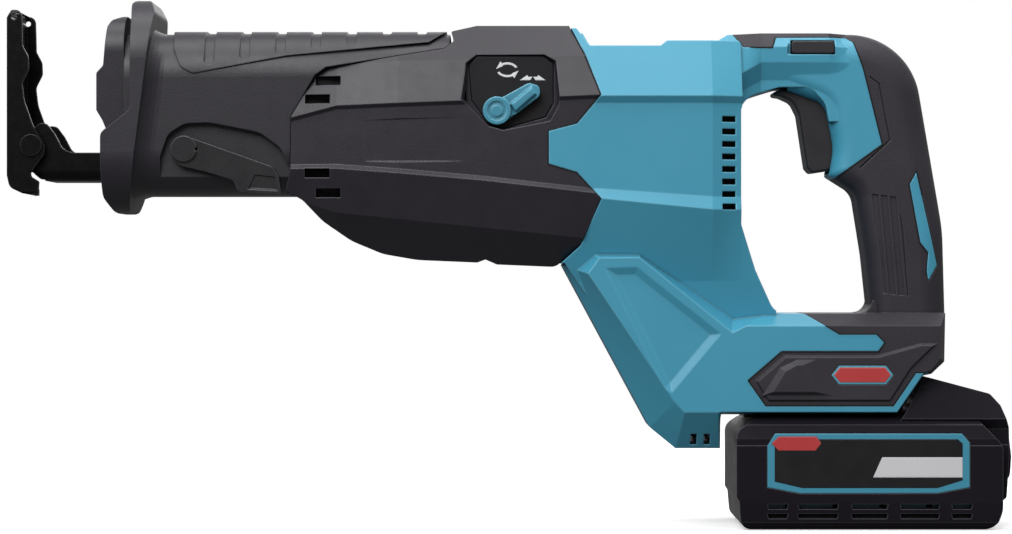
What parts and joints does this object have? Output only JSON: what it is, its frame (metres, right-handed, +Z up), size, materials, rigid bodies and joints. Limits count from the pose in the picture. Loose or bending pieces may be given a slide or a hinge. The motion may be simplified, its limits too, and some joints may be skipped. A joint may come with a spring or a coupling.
{
  "type": "cordless reciprocating saw",
  "caption": "Battery reciprocating saw with a D-shaped rear handle, finger trigger, rubber nose boot, pivoting slotted shoe, orbital selector and slide-on battery.",
  "frame": {"origin": "centre of the battery's flat underside, on the saw's mid-plane", "axes": "+X to the rear (battery and handle end), -X to the blade end; +Z up; +Y to the operator's right"},
  "size_m": [0.4468, 0.0804, 0.234],
  "materials": {
    "teal_plastic": "satin",
    "teal_lever": "satin",
    "grip_elastomer": "matte",
    "black_plastic": "matte",
    "boot_rubber": "matte",
    "screw_steel": "satin",
    "cast_aluminium": "cast",
    "machined_steel": "machined",
    "dark_steel": "black oxide, satin",
    "bearing_bronze": "sintered",
    "motor_iron": "laminated",
    "fan_plastic": "matte",
    "lever_plastic": "satin",
    "trigger_plastic": "satin",
    "battery_plastic": "gloss",
    "label_film": "satin film",
    "cell_sleeve": "sleeve",
    "contact_brass": "plated"
  },
  "bodies": {
    "frame": {"left_housing": "teal_plastic", "right_housing": "teal_plastic", "left_overmould": "grip_elastomer", "right_overmould": "grip_elastomer", "left_gear_cover": "black_plastic", "right_gear_cover": "black_plastic", "selector_plate": "black_plastic", "nose_boot": "boot_rubber", "housing_screws": "screw_steel", "gear_case": "cast_aluminium", "nose_plate": "black_plastic", "stator": "motor_iron", "front_bearing": "machined_steel", "rear_bearing": "machined_steel", "crank_bearing": "machined_steel", "switch_body": "fan_plastic", "control_board": "fan_plastic", "terminal_block": "fan_plastic"},
    "bracket": {"shoe_bracket": "dark_steel", "shoe_pin": "dark_steel"},
    "shoe": {"shoe": "dark_steel"},
    "guide": {"guide_sleeve": "machined_steel", "guide_bushes": "bearing_bronze"},
    "plunger": {"plunger": "machined_steel", "clamp_pin": "machined_steel"},
    "clamp": {"clamp_sleeve": "dark_steel"},
    "blade_lever": {"blade_lever": "lever_plastic", "lever_shaft": "machined_steel"},
    "counterweight": {"counterweight": "machined_steel"},
    "crank": {"crank_gear": "machined_steel", "crank_pin": "machined_steel"},
    "rotor": {"rotor_shaft": "machined_steel", "rotor_core": "motor_iron", "cooling_fan": "fan_plastic"},
    "selector": {"selector_lever": "teal_lever", "selector_shaft": "machined_steel"},
    "lock_off": {"lock_off_button": "trigger_plastic"},
    "trigger": {"trigger": "trigger_plastic"},
    "battery": {"battery_upper_case": "battery_plastic", "battery_lower_case": "battery_plastic", "battery_label": "label_film", "battery_cells": "cell_sleeve", "battery_contacts": "contact_brass", "latch_spring": "machined_steel"},
    "latch": {"battery_latch": "battery_plastic"}
  },
  "joints": [
    {"name": "shoe_adjust", "type": "slide", "parent": "frame", "child": "bracket", "axis": [1, 0, 0], "range_m": [-0.018, 0.014]},
    {"name": "shoe_tilt", "type": "hinge", "parent": "bracket", "child": "shoe", "pos_m": [-0.37, 0, 0.1693], "axis": [0, 1, 0], "range_deg": [-22, 10]},
    {"name": "orbital_swing", "type": "hinge", "parent": "frame", "child": "guide", "pos_m": [-0.2705, 0, 0.194], "axis": [0, -1, 0], "range_deg": [0, 2]},
    {"name": "plunger_stroke", "type": "slide", "parent": "guide", "child": "plunger", "axis": [-1, 0, 0], "range_m": [0, 0.032]},
    {"name": "blade_release", "type": "hinge", "parent": "frame", "child": "blade_lever", "pos_m": [-0.3015, 0, 0.1674], "axis": [0, 1, 0], "range_deg": [0, 48], "stiffness_Nm_per_rad": 0.2},
    {"name": "clamp_turn", "type": "hinge", "parent": "plunger", "child": "clamp", "pos_m": [-0.322, 0, 0.194], "axis": [1, 0, 0], "range_deg": [0, 48]},
    {"name": "counterweight_slide", "type": "slide", "parent": "frame", "child": "counterweight", "axis": [-1, 0, 0], "range_m": [-0.016, 0]},
    {"name": "crank_spin", "type": "hinge", "parent": "frame", "child": "crank", "pos_m": [-0.19, 0, 0.168], "axis": [0, 1, 0], "continuous": true},
    {"name": "rotor_spin", "type": "hinge", "parent": "frame", "child": "rotor", "pos_m": [-0.103, 0, 0.168], "axis": [1, 0, 0], "continuous": true},
    {"name": "selector_turn", "type": "hinge", "parent": "frame", "child": "selector", "pos_m": [-0.1635, -0.03, 0.184], "axis": [0, -1, 0], "range_deg": [0, 60]},
    {"name": "lock_off_push", "type": "slide", "parent": "frame", "child": "lock_off", "axis": [0, 1, 0], "range_m": [0, 0.0035]},
    {"name": "trigger_pull", "type": "slide", "parent": "frame", "child": "trigger", "axis": [1, 0, 0], "range_m": [0, 0.006], "stiffness_N_per_m": 1200},
    {"name": "battery_slide", "type": "slide", "parent": "frame", "child": "battery", "axis": [1, 0, 0], "range_m": [0, 0.085]},
    {"name": "battery_release", "type": "slide", "parent": "battery", "child": "latch", "axis": [0, 0, -1], "range_m": [0, 0.0038], "stiffness_N_per_m": 1500, "deforming": ["latch_spring"]}
  ],
  "couplings": [
    {"joint": "clamp_turn", "follows": "blade_release", "ratio": 1},
    {"joint": "counterweight_slide", "follows": "plunger_stroke", "ratio": -0.5},
    {"joint": "rotor_spin", "follows": "crank_spin", "ratio": 3.7778}
  ]
}
